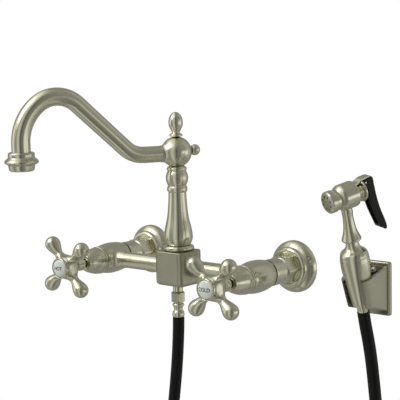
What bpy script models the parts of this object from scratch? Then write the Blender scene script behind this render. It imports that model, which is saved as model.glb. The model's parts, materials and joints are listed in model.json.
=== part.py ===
"""Wall-mounted bridge kitchen faucet with cross handles, swivel spout and a side sprayer in a wall holder.

World frame: origin on the wall, midway between the two inlets. +X runs along the bridge from the hot
valve to the cold one, +Y points into the wall and +Z up. Blender units are metres; profiles are written
in millimetres and scaled by MM.
"""

from math import atan2, cos, hypot, pi, asin, radians, sin

import bmesh
import bpy
from mathutils import Matrix, Vector

MM = 0.001
GAP = 0.3  # mm, clearance between touching pieces

# Driving dimensions, mm
VALVE_CENTRES = 203.2
WALL_TO_AXIS = 71.1  # wall plane to the bridge's centreline
BLOCK_SIZE = (39.0, 36.0)  # width, depth
BLOCK_OFFSET = 1.2  # block's middle in front of the bridge axis
BLOCK_BOTTOM, BLOCK_TOP = -18.4, 18.3
TUBE_RADIUS, TUBE_BORE = 8.9, 7.0
BODY_BORE = 9.1
FLANGE_RADIUS = 27.8
NUT_CORNER_RADIUS = 15.8
HUB_RADIUS, HUB_HEIGHT, CLAMP_HEIGHT = 16.4, 123.2, 124.4  # ball hub, and the screw opposite the spout
SPOUT_ARM, SPOUT_ARM_HEIGHT, SPOUT_BEND = 36.3, 121.9, 28.0  # straight arm's end and height, bend after it
SPOUT_CROWN, SPOUT_CROWN_RADIUS = (127.0, 155.4), 30.9  # arch over the top: forward and up, radius
SPOUT_REACH = 165.2  # column axis to outlet axis
SPOUT_ARCH_SPLIT = 38.0  # degrees past the top, where the arch widens towards the outlet
SPOUT_RADII, SPOUT_WALL = (8.5, 9.8), 2.0
SPOUT_END_HEIGHT = 129.0
SPOUT_TURN = 31.0  # degrees, spout turned towards the hot side
ARM_BALL_CENTRE, ARM_BALL_RADIUS = 31.0, 8.3
HANDLE_PLANE = 68.0  # arms' plane in front of the bridge axis
HANDLE_TWIST = (-4.0, 2.0)  # degrees off 45, hot and cold
SPRAYER_X, SPRAYER_STANDOFF = 201.6, 32.8  # cradle axis at height 0: along the bridge, and off the wall
SPRAYER_TILT, SPRAYER_TURN = 15.0, 22.0  # degrees: leans forward, head turned towards the hot side
HEAD_HEIGHT = 90.5  # along the sprayer's axis
LEVER_PIVOT = (23.2, 7.6)  # behind the sprayer's axis, above the barrel's axis
OUTLET_OFFSET = 3.0  # hose outlet in front of the block's axis
HOSE_RADIUS = 6.3
WIDE, ROUND, SMALL = 18, 16, 8  # segments round a turned piece


def metal(name, color, roughness, metallic=1.0):
    """A Principled material."""
    material = bpy.data.materials.new(name)
    material.use_nodes = True
    shader = material.node_tree.nodes["Principled BSDF"]
    shader.inputs["Base Color"].default_value = (*color, 1.0)
    shader.inputs["Roughness"].default_value = roughness
    shader.inputs["Metallic"].default_value = metallic
    return material


def empty(name, parent=None, location=(0, 0, 0), rotation=(0, 0, 0)):
    """A frame to hang pieces on. Location in mm, rotation in degrees."""
    frame = bpy.data.objects.new(name, None)
    frame.parent = parent
    frame.location = Vector(location) * MM
    frame.rotation_euler = [radians(angle) for angle in rotation]
    bpy.context.scene.collection.objects.link(frame)
    return frame


def add(name, mesh_builder, material, parent, location=(0, 0, 0), rotation=(0, 0, 0)):
    """Links an object made from a bmesh in mm, with outward normals and smooth round surfaces."""
    bmesh.ops.recalc_face_normals(mesh_builder, faces=mesh_builder.faces)
    bmesh.ops.scale(mesh_builder, vec=(MM, MM, MM), verts=mesh_builder.verts)
    mesh = bpy.data.meshes.new(name)
    mesh_builder.to_mesh(mesh)
    mesh_builder.free()
    mesh.shade_smooth()
    mesh.set_sharp_from_angle(angle=radians(35))
    if material:
        mesh.materials.append(material)
    piece = bpy.data.objects.new(name, mesh)
    piece.parent = parent
    piece.location = Vector(location) * MM
    piece.rotation_euler = [radians(angle) for angle in rotation]
    bpy.context.scene.collection.objects.link(piece)
    return piece


def lathe(profile, segments=ROUND):
    """A bmesh turned about Z; the (radius, height) profile starts and ends on the axis, or is a loop."""
    shape = bmesh.new()
    rings = []
    for radius, height in profile:
        if radius == 0:
            rings.append([shape.verts.new((0, 0, height))])
            continue
        angles = [2 * pi * k / segments for k in range(segments)]
        rings.append([shape.verts.new((radius * cos(a), radius * sin(a), height)) for a in angles])
    pairs = list(zip(rings, rings[1:]))
    if profile[0][0] and profile[-1][0]:
        pairs.append((rings[-1], rings[0]))
    for lower, upper in pairs:
        for k in range(segments):
            after = (k + 1) % segments
            if len(lower) == 1:
                shape.faces.new((lower[0], upper[after], upper[k]))
            elif len(upper) == 1:
                shape.faces.new((lower[k], lower[after], upper[0]))
            else:
                shape.faces.new((lower[k], lower[after], upper[after], upper[k]))
    return shape


def turned(name, profile, material, parent, segments=ROUND, location=(0, 0, 0), rotation=(0, 0, 0)):
    return add(name, lathe(profile, segments), material, parent, location, rotation)


def box(size, centre=(0, 0, 0)):
    shape = bmesh.new()
    bmesh.ops.create_cube(shape, size=1.0)
    bmesh.ops.scale(shape, vec=size, verts=shape.verts)
    bmesh.ops.translate(shape, vec=centre, verts=shape.verts)
    return shape


def rod(radius, start, end, segments=ROUND):
    """A solid cylinder about Z between two heights."""
    return lathe([(0, start), (radius, start), (radius, end), (0, end)], segments)


def boolean(piece, operation, shape, parent=None, location=(0, 0, 0), rotation=(0, 0, 0)):
    """Cuts, joins or intersects the piece with a hidden helper."""
    helper_name = f"{piece.name}_{operation.lower()}_{len(piece.modifiers)}"
    helper = add(helper_name, shape, None, parent or piece.parent, location, rotation)
    helper.hide_render = True
    helper.display_type = "WIRE"
    modifier = piece.modifiers.new(helper_name, "BOOLEAN")
    modifier.operation = operation
    modifier.object = helper


def cut(piece, shape, parent=None, location=(0, 0, 0), rotation=(0, 0, 0)):
    boolean(piece, "DIFFERENCE", shape, parent, location, rotation)


def gather(shapes):
    """One bmesh that holds several."""
    whole = bmesh.new()
    for shape in shapes:
        mesh = bpy.data.meshes.new("gathered")
        shape.to_mesh(mesh)
        shape.free()
        whole.from_mesh(mesh)
    return whole


def extruded(outline, half_width):
    """A bmesh of a (y, z) outline extruded along X, both ways."""
    shape = bmesh.new()
    near = [shape.verts.new((-half_width, y, z)) for y, z in outline]
    far = [shape.verts.new((half_width, y, z)) for y, z in outline]
    shape.faces.new(near)
    shape.faces.new(reversed(far))
    for k in range(len(outline)):
        after = (k + 1) % len(outline)
        shape.faces.new((near[k], far[k], far[after], near[after]))
    return shape


def washer(outer, inner, low, high):
    return [(inner, low), (outer, low), (outer, high), (inner, high)]


def torus_profile(centre_radius, thickness, height, sides=8):
    turn = [2 * pi * k / sides for k in range(sides)]
    return [(centre_radius + thickness * cos(a), height + thickness * sin(a)) for a in turn]


def coil(radius, wire, low, high, turns, per_turn=9, sides=5):
    """A helical spring as one closed tube."""
    shape = bmesh.new()
    rings = []
    steps = turns * per_turn
    for k in range(steps + 1):
        angle = 2 * pi * k / per_turn
        height = low + wire + (high - low - 2 * wire) * k / steps
        ring = []
        for side in range(sides):
            around = 2 * pi * side / sides
            reach = radius + wire * cos(around)
            level = height + wire * sin(around)
            ring.append(shape.verts.new((reach * cos(angle), reach * sin(angle), level)))
        rings.append(ring)
    for lower, upper in zip(rings, rings[1:]):
        for k in range(sides):
            after = (k + 1) % sides
            shape.faces.new((lower[k], lower[after], upper[after], upper[k]))
    shape.faces.new(rings[0])
    shape.faces.new(rings[-1])
    return shape


def mixing_block(root, nickel):
    """The cast centre block: rounded cube, column socket on top, diverter chamber and hose outlet below."""
    width, depth = BLOCK_SIZE
    height = BLOCK_TOP - BLOCK_BOTTOM
    shape = box((width, depth, height), (0, -BLOCK_OFFSET, (BLOCK_TOP + BLOCK_BOTTOM) / 2))
    corners = [edge for edge in shape.edges if abs(edge.verts[0].co.z - edge.verts[1].co.z) > 1]
    bmesh.ops.bevel(shape, geom=corners, offset=4.5, segments=3, affect="EDGES", profile=0.5)
    low = [e for e in shape.edges if max(v.co.z for v in e.verts) < BLOCK_BOTTOM + 0.1]
    bmesh.ops.bevel(shape, geom=low, offset=3.0, segments=2, affect="EDGES", profile=0.5)
    block = add("mixing_block", shape, nickel, root)
    cut(block, lathe([(0, -10), (6.2, -10), (6.2, 6), (8.5, 6), (8.5, 30), (0, 30)]))
    outlet = [(0, -30), (5.6, -30), (5.6, -11.5), (3, -11.5), (3, -8), (0, -8)]
    cut(block, lathe(outlet), location=(0, -OUTLET_OFFSET, 0))
    socket = TUBE_RADIUS + GAP
    side = [(0, -30), (socket, -30), (socket, -13.7), (5.5, -13.7), (5.5, 13.7), (socket, 13.7), (socket, 30)]
    cut(block, lathe(side + [(0, 30)]), rotation=(0, 90, 0))


def diverter(root, brass, steel):
    """The sprayer diverter in the block's chamber: a spool that lifts against a light spring."""
    spool = [(0, -9.6), (2, -9.6), (2, -3.9), (5.7, -3.9), (5.7, -1.6), (2, -1.6), (2, 4.5), (0, 4.5)]
    turned("diverter_spool", spool, brass, root, SMALL)
    add("diverter_spring", coil(4.3, 0.4, -9.6, -4.3, 3), steel, root)


def bridge_tube(side, sign, root, nickel):
    start = BLOCK_SIZE[0] / 2 - 5
    end = VALVE_CENTRES / 2 - BODY_BORE - 0.6
    turned(f"bridge_tube_{side}", washer(TUBE_RADIUS, TUBE_BORE, start, end), nickel, root,
           rotation=(0, 90 * sign, 0))


def valve(side, sign, root, looks):
    """Everything fixed on one valve's axis. Local +Z points out of the wall, from the bridge axis."""
    nickel = looks["nickel"]
    frame = empty(f"valve_{side}", root, (sign * VALVE_CENTRES / 2, 0, 0), (90, 0, 0))
    body = turned(f"valve_body_{side}", [
        (BODY_BORE, 17.6), (14.2, 17.6), (15.4, 13), (16.5, 6), (16.8, 0), (16.5, -7), (15.6, -13.5),
        (14.5, -18.3), (6, -18.3), (6, -1.4), (BODY_BORE, -1.4)], nickel, frame, WIDE)
    cut(body, rod(TUBE_RADIUS + GAP, 5, 30), rotation=(0, -90 * sign, 0))
    turned(f"bonnet_{side}", [
        (BODY_BORE, 18), (14, 18), (15, 18.8), (15, 20.6), (14, 21.4), (14, 23), (13.6, 27), (12.3, 32),
        (10.6, 36.5), (9.2, 39.5), (8.4, 41), (5, 41), (5, 31.6), (BODY_BORE, 31.6)], nickel, frame, WIDE)
    cartridge = turned(f"cartridge_{side}", [
        (7.5, -1.1), (8.7, -1.1), (8.7, 31.2), (4.7, 31.2), (4.7, 7), (7.5, 7)], looks["brass"], frame)
    cut(cartridge, rod(3.2, 4, 12, 8), location=(0, 0, 2.6), rotation=(0, -90 * sign, 0))
    disc = turned(f"fixed_disc_{side}", [(0, -1.1), (7.1, -1.1), (7.1, 1), (0, 1)], looks["ceramic"], frame)
    for x in (-3.4, 3.4):
        cut(disc, rod(2.2, -5, 5, 8), location=(x, 0, 0))
    turned(f"body_gasket_{side}", washer(13.9, 8.2, -20.2, -18.6), looks["rubber"], frame, WIDE)
    turned(f"inlet_tail_{side}", [
        (7.5, -20.5), (13.6, -20.5), (14, -21.2), (14, -38), (10.5, -38), (10.5, -WALL_TO_AXIS),
        (7.5, -WALL_TO_AXIS)], nickel, frame)
    nut = turned(f"union_nut_{side}", [
        (10.8, -38.3), (13.2, -38.3), (15.4, -40.5), (NUT_CORNER_RADIUS, -43.5), (NUT_CORNER_RADIUS, -57),
        (14.6, -59), (10.8, -59)], nickel, frame, WIDE)
    boolean(nut, "INTERSECT", rod(NUT_CORNER_RADIUS, -70, -30, 6))
    turned(f"wall_flange_{side}", [
        (10.9, -WALL_TO_AXIS), (FLANGE_RADIUS, -WALL_TO_AXIS), (FLANGE_RADIUS, -68.6), (27, -65.6),
        (25, -62.6), (22.4, -60.6), (21.3, -58), (19.6, -56.2), (17.6, -56), (17, -57), (17, -59.5),
        (10.9, -59.5)], nickel, frame, WIDE)
    return frame


def handle(side, sign, twist, valve_frame, looks):
    """The turning group of one valve: stem, moving disc, cross, screw and porcelain button."""
    nickel = looks["nickel"]
    turning = empty(f"handle_{side}", valve_frame)
    turned(f"stem_{side}", [
        (0, 3.6), (6.8, 3.6), (6.8, 6.4), (4.3, 6.4), (4.3, 44), (3.6, 45), (3.6, 64), (2.1, 64), (2.1, 57),
        (0, 57)], nickel, turning, SMALL)
    disc = turned(f"moving_disc_{side}", [(0, 1.3), (7.1, 1.3), (7.1, 3.3), (0, 3.3)], looks["ceramic"],
                  turning)
    cut(disc, rod(2.2, -5, 8, 8), location=(0, 3.4, 0))
    cross = turned(f"cross_handle_{side}", [
        (3.9, 46), (7, 46), (7.2, 48), (6.6, 53), (6.8, 58), (8, 62), (9.2, 66), (9.4, 71), (10.6, 75),
        (11.5, 77.6), (11.2, 79.2), (10.1, 79.4), (9.9, 75.2), (6, 75.2), (6, 66.6), (2.2, 66.6), (2.2, 64.3),
        (3.9, 64.3)], nickel, turning)
    arm = [(0, 6.5), (7, 6.5), (6.2, 10), (5.2, 13), (4.7, 16), (4.8, 19), (5.8, 22), (7.1, 25.4)]
    ball_start = asin(7.1 / ARM_BALL_RADIUS)
    for k in range(1, 5):
        angle = ball_start + (pi - ball_start) * k / 5
        arm.append((ARM_BALL_RADIUS * sin(angle), ARM_BALL_CENTRE - ARM_BALL_RADIUS * cos(angle)))
    arm.append((0, ARM_BALL_CENTRE + ARM_BALL_RADIUS))
    for k in range(4):
        rotation = Matrix.Rotation(radians(45 + 90 * k + twist), 4, "Z") @ Matrix.Rotation(pi / 2, 4, "Y")
        shape = lathe(arm, SMALL)
        bmesh.ops.transform(shape, matrix=rotation, verts=shape.verts)
        boolean(cross, "UNION", shape, location=(0, 0, HANDLE_PLANE))
    cut(cross, rod(6, 66.6, 74))
    turned(f"handle_screw_{side}", [(0, 58), (1.8, 58), (1.8, 66.9), (3.6, 66.9), (3.6, 69.6), (0, 69.6)],
           looks["steel"], turning, SMALL)
    turned(f"index_button_{side}", [
        (0, 75.6), (9.4, 75.6), (9.4, 78.4), (8.2, 80), (5, 81), (0, 81.3)], looks["porcelain"], turning)


def column(root, spout_frame, looks):
    """The fixed base ring and the turned column, which swivels in the block on its O-ring."""
    nickel = looks["nickel"]
    turned("column_base_ring", [
        (8.8, 18.6), (15.2, 18.6), (16.4, 19.6), (16.6, 21.2), (15.9, 22.8), (14, 23.8), (8.8, 23.8)],
        nickel, root, WIDE)
    turned("column", [
        (5, 9), (8.2, 9), (8.2, 11.9), (6.6, 11.9), (6.6, 14.5), (8.2, 14.5), (8.2, 24.1), (12.4, 24.1),
        (14.2, 27.2), (15.3, 31), (15.4, 34), (14.7, 39.5), (13.3, 46), (11.9, 52), (11, 58), (10.3, 65),
        (9.7, 74), (9.6, 81), (10.6, 82.4), (10.7, 85), (9.8, 87.4), (11.3, 91.4), (11.9, 95.8),
        (11.3, 99.8), (9.8, 103.4), (10.4, 104.6), (10.4, 106.6), (8.4, 108.2), (6, 108.4), (6, 116),
        (5, 116)], nickel, spout_frame)
    turned("column_o_ring", torus_profile(7.5, 0.7, 13.2, 6), looks["rubber"], spout_frame)


def hub(spout_frame, looks):
    """The ball hub with its finial and the ball-headed screw that clamps the spout."""
    nickel = looks["nickel"]
    rise = [radians(-62 + 152 * k / 11) for k in range(12)]
    sphere = [(HUB_RADIUS * cos(a), HUB_HEIGHT + HUB_RADIUS * sin(a)) for a in rise[:-1]]
    bottom = sphere[0][1]
    top = HUB_HEIGHT + HUB_RADIUS
    ball = turned("spout_hub", [(0, bottom), *sphere, (0, top)], nickel, spout_frame, WIDE)
    cut(ball, lathe([(0, 100), (6.3, 100), (6.3, 117), (4.5, 117), (4.5, HUB_HEIGHT), (0, HUB_HEIGHT)], 16))
    socket = SPOUT_RADII[0] + GAP
    cut(ball, lathe([(0, 0), (5.4, 0), (5.4, 6), (socket, 6), (socket, 30), (0, 30)]),
        location=(0, 0, SPOUT_ARM_HEIGHT), rotation=(90, 0, 0))
    clamp_axis = (0, 0, CLAMP_HEIGHT)
    cut(ball, rod(2.4, 9, 30, SMALL), location=clamp_axis, rotation=(-90, 0, 0))
    cut(ball, rod(2.4, 130, 150, SMALL))
    turned("finial", [
        (0, 131), (2.1, 131), (2.1, 139.9), (6.5, 139.9), (6.9, 141.2), (5.2, 142.6), (4.3, 144.2),
        (5.2, 146.4), (6.9, 149.4), (7.6, 153), (7.4, 157), (6.2, 160.8), (3.8, 164), (0, 165.3)],
        nickel, spout_frame)
    turned("spout_clamp_screw", [
        (0, 9.6), (2.1, 9.6), (2.1, 16.8), (3.6, 16.8), (5.2, 17.6), (5.9, 20.2), (5.2, 22.9), (3.2, 25.1),
        (0, 26.1)], nickel, spout_frame, location=clamp_axis, rotation=(-90, 0, 0))


def spout_path():
    """Centreline in the spout's plane as (forward, up): arm, lower bend, straight, two-radius arch, drop."""
    low = Vector((SPOUT_ARM, SPOUT_ARM_HEIGHT + SPOUT_BEND))
    high = Vector(SPOUT_CROWN)
    between = high - low
    slope = atan2(between.y, between.x) + asin((SPOUT_BEND + SPOUT_CROWN_RADIUS) / hypot(*between))
    split = radians(SPOUT_ARCH_SPLIT)
    widening = (SPOUT_REACH - high.x - SPOUT_CROWN_RADIUS) / (1 - sin(split))
    wide = high - widening * Vector((sin(split), cos(split)))
    path = [Vector((6.4, SPOUT_ARM_HEIGHT)), Vector((21, SPOUT_ARM_HEIGHT))]
    for k in range(5):
        angle = slope * k / 4
        path.append(low + SPOUT_BEND * Vector((sin(angle), -cos(angle))))
    for k in range(6):
        angle = slope - (slope + split) * k / 5
        path.append(high + SPOUT_CROWN_RADIUS * Vector((-sin(angle), cos(angle))))
    for k in range(1, 6):
        angle = split + (pi / 2 - split) * k / 5
        path.append(wide + (SPOUT_CROWN_RADIUS + widening) * Vector((sin(angle), cos(angle))))
    path.append(Vector((SPOUT_REACH, SPOUT_END_HEIGHT)))
    return path


def spout(spout_frame, looks):
    """The swept spout tube, slightly wider towards its outlet, and the aerator on its end."""
    path = spout_path()
    length = sum((b - a).length for a, b in zip(path, path[1:]))
    shape = bmesh.new()
    outer, inner = [], []
    travelled = 0.0
    sides = 12
    for k, point in enumerate(path):
        travelled += (point - path[k - 1]).length if k else 0.0
        ahead, behind = path[min(k + 1, len(path) - 1)], path[max(k - 1, 0)]
        along = (ahead - behind).normalized()
        across = Vector((-along.y, along.x))
        radius = SPOUT_RADII[0] + (SPOUT_RADII[1] - SPOUT_RADII[0]) * travelled / length
        for rings, reach in ((outer, radius), (inner, radius - SPOUT_WALL)):
            ring = []
            for side in range(sides):
                angle = 2 * pi * side / sides
                centre = point + across * (reach * cos(angle))
                ring.append(shape.verts.new((reach * sin(angle), -centre.x, centre.y)))
            rings.append(ring)
    loops = list(zip(outer, outer[1:])) + list(zip(inner, inner[1:]))
    for lower, upper in loops + [(outer[0], inner[0]), (outer[-1], inner[-1])]:
        for side in range(sides):
            after = (side + 1) % sides
            shape.faces.new((lower[side], lower[after], upper[after], upper[side]))
    add("spout_tube", shape, looks["nickel"], spout_frame)
    outlet = (0, -SPOUT_REACH, 0)
    turned("aerator_shell", [
        (10.1, 131.4), (12.6, 131.4), (13.5, 130.2), (13.5, 126.4), (14.4, 125), (17.2, 122.8), (17.7, 121.6),
        (17, 120.2), (14.2, 118.6), (13.4, 117.6), (13, 114.4), (11.8, 112.4), (9.6, 112.2), (9.6, 114.6),
        (12, 116), (12, 127), (10.1, 127)], looks["nickel"], spout_frame, WIDE, outlet)
    turned("aerator_washer", washer(11.6, 7, 124.6, 126.4), looks["rubber"], spout_frame, location=outlet)
    turned("aerator_screen", [(0, 118), (11.6, 118), (11.6, 124.2), (10.4, 124.2), (10.4, 120), (0, 120)],
           looks["plastic"], spout_frame, location=outlet)


def hose_outlet(root, looks):
    """Nipple, nut and crimped ferrule under the block, a little in front of its axis."""
    nickel = looks["nickel"]
    frame = empty("hose_outlet", root, (0, -OUTLET_OFFSET, 0))
    turned("hose_nipple", [
        (2.4, -12), (5, -12), (5, -18.6), (5.4, -19), (5.4, -26), (3.4, -26), (3.4, -31), (2.4, -31)],
        nickel, frame, SMALL)
    nut = turned("hose_nut", [
        (3.8, -26.4), (6.4, -26.4), (8.1, -28.6), (8.1, -35.4), (6.6, -37.4), (3.8, -37.4)],
        nickel, frame, WIDE)
    boolean(nut, "INTERSECT", rod(8.1, -50, -20, 6), rotation=(0, 0, 15))
    turned("hose_ferrule", [
        (2.4, -31.4), (3.4, -31.4), (3.4, -39.2), (6, -39.2), (6.3, -40), (6.1, -41.2), (4.8, -43.4),
        (4.7, -46), (6.2, -48.6), (6.6, -51), (5.8, -54.1), (2.4, -54.1)], nickel, frame)


def sprayer_holder(root, looks):
    """Wall plate and open-fronted cradle in one casting, with two wall screws in its pocket."""
    nickel = looks["nickel"]
    face = WALL_TO_AXIS - 4.3
    plate_low, plate_high = -38.7, 16.2
    shape = box((36.6, 4.3, plate_high - plate_low), (0, WALL_TO_AXIS - 2.15, (plate_low + plate_high) / 2))
    front = [e for e in shape.edges if all(v.co.y < face + 0.1 for v in e.verts)]
    bmesh.ops.bevel(shape, geom=front, offset=1.8, segments=2, affect="EDGES", profile=0.5)
    holder_frame = empty("holder_frame", root, (SPRAYER_X, 0, 0))
    holder = add("sprayer_holder", shape, nickel, holder_frame)
    tilt = radians(SPRAYER_TILT)
    stand = WALL_TO_AXIS - SPRAYER_STANDOFF

    def on_axis(radius, along, angle):
        """A point round the leaning cradle axis; angle 0 is straight out from the wall."""
        flat = Vector((radius * sin(angle), -radius * cos(angle), along))
        return Matrix.Rotation(tilt, 3, "X") @ flat + Vector((0, stand, 0))

    cradle = bmesh.new()
    for radius, along in ((16.4, 4.5), (14.2, -24.6)):
        for k in range(9):
            cradle.verts.new(on_axis(radius, along, radians(-100 + 200 * k / 8)))
    for x in (-16.0, 16.0):
        for z in (12.0, -33.0):
            cradle.verts.new((x, face + 1.0, z))
    bmesh.ops.convex_hull(cradle, input=cradle.verts)
    boolean(holder, "UNION", cradle)
    leaning = empty("cradle_axis", holder_frame, (0, stand, 0), (SPRAYER_TILT, 0, 0))
    bore = [(0, -60), (10.4, -60), (10.4, -26.5), (14.1, 4), (15.4, 24), (15.4, 60), (0, 60)]
    cut(holder, lathe(bore, WIDE), leaning)
    cut(holder, box((20.5, 40, 90), (0, -22, 0)), leaning)
    cut(holder, box((26, 24, 70), (0, face - 12.3, 13)))
    for name, height in (("holder_screw_upper", 6.0), ("holder_screw_lower", -13.0)):
        place = (0, WALL_TO_AXIS, height)
        cut(holder, rod(2.3, -1, 10, SMALL), location=place, rotation=(90, 0, 0))
        turned(name, [(0, 0.2), (2, 0.2), (2, 4.7), (3.9, 4.7), (3.3, 6.4), (0, 7)], looks["steel"],
               holder_frame, SMALL, place, (90, 0, 0))
    return leaning


def sprayer_grip(frame, looks):
    """Hose ferrule, tapered grip and flared neck of the sprayer, turned about its own axis."""
    nickel = looks["nickel"]
    turned("sprayer_ferrule", [
        (2.6, -32.8), (5.9, -32.8), (6, -26), (3.8, -25.6), (3.8, -16), (2.6, -16)], nickel, frame)
    turned("sprayer_grip", [
        (4.1, -25.3), (9.6, -25.3), (10.4, -21), (12.2, -8), (13.6, 4), (14.6, 14), (14.8, 22), (14.3, 28),
        (13.3, 31.6), (12.4, 33), (9.6, 35), (7.4, 38), (6.4, 41), (6.2, 43), (4.4, 43), (4.4, 36),
        (7, 30), (7, -12), (4.1, -12)], nickel, frame)


def sprayer_head(frame, looks):
    """Neck, barrel, spray face and rear cap. Local -Y points out of the nozzle."""
    nickel = looks["nickel"]
    turned("sprayer_neck", [
        (2.8, 43.3), (6.6, 43.3), (9.2, 44.4), (10, 46.2), (9.3, 48), (7.5, 52.5), (6.3, 58), (5.6, 64),
        (5.3, 70), (5.7, 76), (5.4, 76.8), (5.4, 79), (2.8, 79)], nickel, frame)
    barrel = turned("sprayer_barrel", [
        (0, -14.5), (7.4, -14.5), (9, -13.6), (9.4, -11.6), (13, -10.4), (13.1, 5.2), (10.4, 9.5),
        (8.6, 9.9), (8.6, 18.6), (7.6, 18.6), (7.6, 9), (0, 9)],
        nickel, frame, WIDE, (0, 0, HEAD_HEIGHT), (90, 0, 0))
    lug = [(9, 6), (9, 10.6), (12.4, 10.2), (14.4, 10.4), (17, 11.4), (20, 12.5), (29.4, 12.9), (29.4, 11.7),
           (20.9, 10.75), (17.7, 10.6), (16.4, 9.4), (14.4, 8.4), (12, 7.6), (11, 6)]
    boolean(barrel, "UNION", extruded([(y, z + HEAD_HEIGHT) for y, z in lug], 4.4))
    tongue = [(20.9, 4.8), (20.9, 12), (25.4, 12.4), (25.4, 5.6), (24, 4.4), (22, 4.2)]
    boolean(barrel, "UNION", extruded([(y, z + HEAD_HEIGHT) for y, z in tongue], 2.2))
    pivot = (0, LEVER_PIVOT[0], HEAD_HEIGHT + LEVER_PIVOT[1])
    cut(barrel, rod(1.4, -9, 9, SMALL), location=pivot, rotation=(0, 90, 0))
    cut(barrel, rod(5.7, HEAD_HEIGHT - 30, HEAD_HEIGHT - 11))
    cut(barrel, rod(2.4, HEAD_HEIGHT - 12, HEAD_HEIGHT - 1, SMALL))
    bore = [(0, -20), (6.3, -20), (6.3, -9.1), (3.2, -9.1), (3.2, 9.5), (0, 9.5)]
    cut(barrel, lathe(bore, SMALL), location=(0, 0, HEAD_HEIGHT), rotation=(90, 0, 0))
    face = turned("spray_face", [
        (0, 18.9), (8.9, 18.9), (8.9, 10.2), (9.8, 10.2), (10.2, 12.4), (10.9, 14), (11, 19.3),
        (10.3, 20.3), (6, 21), (0, 21.2)], nickel, frame, WIDE, (0, 0, HEAD_HEIGHT), (90, 0, 0))
    holes = []
    for k in range(8):
        hole = rod(0.9, 15, 25, 6)
        angle = 2 * pi * (k + 0.5) / 8
        bmesh.ops.translate(hole, vec=(6.6 * sin(angle), 6.6 * cos(angle), 0), verts=hole.verts)
        holes.append(hole)
    cut(face, gather(holes), location=(0, 0, HEAD_HEIGHT), rotation=(90, 0, 0))
    cap = turned("sprayer_rear_cap", [
        (2.9, -20.6), (2.9, -14.8), (7.2, -14.8), (7.2, -18), (11.3, -18), (11.3, -20), (10.4, -20.6)],
        nickel, frame, WIDE, (0, 0, HEAD_HEIGHT), (90, 0, 0))
    cut(cap, box((12, 9, 4), (0, 19, HEAD_HEIGHT + 12.3)))


def sprayer_lever(frame, looks):
    """Black thumb lever on its pin, the plunger that it presses and the plunger's spring."""
    behind, above = LEVER_PIVOT
    turning = empty("lever_pivot", frame, (0, behind, HEAD_HEIGHT + above))
    outline = [(21.2, 10), (21.2, 5), (24.7, 1), (24.7, -6), (25.2, -14), (27.4, -24), (32.8, -41.6),
               (33.6, -43.4), (35.6, -42.6), (37.4, -46), (39.2, -45.8), (40, -43.6), (39.2, -38),
               (35.6, -24), (33.4, -11), (32.4, 2), (32, 9.6), (31.2, 11.6), (29.9, 12.3), (29.9, 11)]
    lever = add("sprayer_lever", extruded([(y - behind, z - above) for y, z in outline], 5.5),
                looks["black"], turning)
    cut(lever, box((5, 7.6, 16), (0, -0.4, 0.4)))
    cut(lever, rod(1.4, -9, 9, SMALL), rotation=(0, 90, 0))
    turned("lever_pin", [(0, -5.4), (1.1, -5.4), (1.1, 5.4), (0, 5.4)], looks["steel"], turning, SMALL,
           rotation=(0, 90, 0))
    axis = (0, 0, HEAD_HEIGHT)
    turned("sprayer_plunger", [
        (0, -24.1), (1.6, -24.1), (2.6, -23.4), (2.6, -14.5), (5.6, -14.5), (5.6, -13.9), (2.2, -13.9),
        (2.2, -4), (0, -4)],
        looks["brass"], frame, SMALL, axis, (90, 0, 0))
    add("plunger_spring", coil(5.2, 0.4, -13.6, -9.4, 2), looks["steel"], frame, axis, (90, 0, 0))


def hose(root, rubber):
    """The free hose: from the faucet's ferrule down, round a wide hanging loop and up to the sprayer."""
    tilt = radians(SPRAYER_TILT)
    stand = WALL_TO_AXIS - SPRAYER_STANDOFF
    top = Vector((SPRAYER_X, stand + 33.1 * sin(tilt), -33.1 * cos(tilt)))
    route = [(0, -3, -54.4), (-0.4, -3, -66), (-2, -3, -88), (-4.8, -3, -114), (-9.6, -3, -148),
             (-18, -1, -190), (-27, 3, -236), (-31, 8, -284), (-26, 13, -332), (-8, 18, -376),
             (26, 22, -410), (70, 26, -428), (116, 30, -428), (160, 34, -408), (194, 38, -372),
             (214, 42, -326), (222, 46, -276), (222, 50, -224), (217, 53, -174), (211, 55.4, -132),
             (207.8, 56, -106), (205.5, 55.4, -84), (203.5, 53.4, -64),
             tuple(top + 16 * Vector((0, sin(tilt), -cos(tilt)))), tuple(top)]
    points = smooth(route, 3)
    curve = bpy.data.curves.new("hose", "CURVE")
    curve.dimensions = "3D"
    curve.bevel_depth = HOSE_RADIUS * MM
    curve.bevel_resolution = 2
    curve.use_fill_caps = True
    spline = curve.splines.new("POLY")
    spline.points.add(len(points) - 1)
    for target, point in zip(spline.points, points):
        target.co = (*(point * MM), 1.0)
    curve.materials.append(rubber)
    tube = bpy.data.objects.new("hose", curve)
    tube.parent = root
    bpy.context.scene.collection.objects.link(tube)


def smooth(route, steps):
    """Points of a Catmull-Rom curve through the route's own points."""
    knots = [Vector(point) for point in route]
    knots = [2 * knots[0] - knots[1], *knots, 2 * knots[-1] - knots[-2]]
    points = []
    for a, b, c, d in zip(knots, knots[1:], knots[2:], knots[3:]):
        for k in range(steps):
            t = k / steps
            points.append(0.5 * (2 * b + (c - a) * t + (2 * a - 5 * b + 4 * c - d) * t**2
                                 + (3 * b - a - 3 * c + d) * t**3))
    return points + [knots[-2]]


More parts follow.
